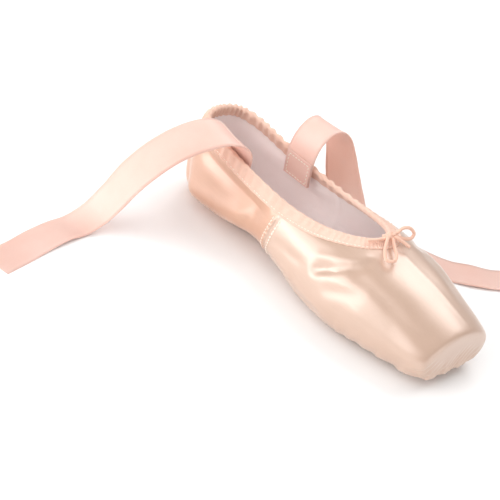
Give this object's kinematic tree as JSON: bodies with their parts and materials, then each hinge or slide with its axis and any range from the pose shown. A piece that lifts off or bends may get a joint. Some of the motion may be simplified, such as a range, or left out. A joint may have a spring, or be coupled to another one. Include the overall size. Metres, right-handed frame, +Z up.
{
  "type": "pointe shoe",
  "caption": "Satin pointe shoe with a stiff flat-ended box, taped collar with a drawstring bow, short leather sole and loose ankle ribbons.",
  "frame": {"origin": "on the floor, at the centre of the shoe's footprint box without its ribbons and drawstring", "axes": "+X to the toe, +Y to the far side (the wearer's left), +Z up"},
  "size_m": [0.2261, 0.296, 0.0711],
  "materials": {
    "satin": "lustrous satin, anisotropic sheen",
    "tape": "matte woven tape",
    "leather": "matte suede side out",
    "lining": "pale cotton lining",
    "ribbon": "soft satin ribbon",
    "drawstring": "round woven cord"
  },
  "bodies": {
    "root": {"upper": "satin", "binding": "tape", "outsole": "leather", "insole": "lining", "ribbon_near": "ribbon", "ribbon_far": "ribbon", "drawstring_knot": "drawstring", "drawstring_loop_far": "drawstring", "drawstring_loop_near": "drawstring", "drawstring_end_far": "drawstring", "drawstring_end_near": "drawstring"}
  },
  "joints": []
}
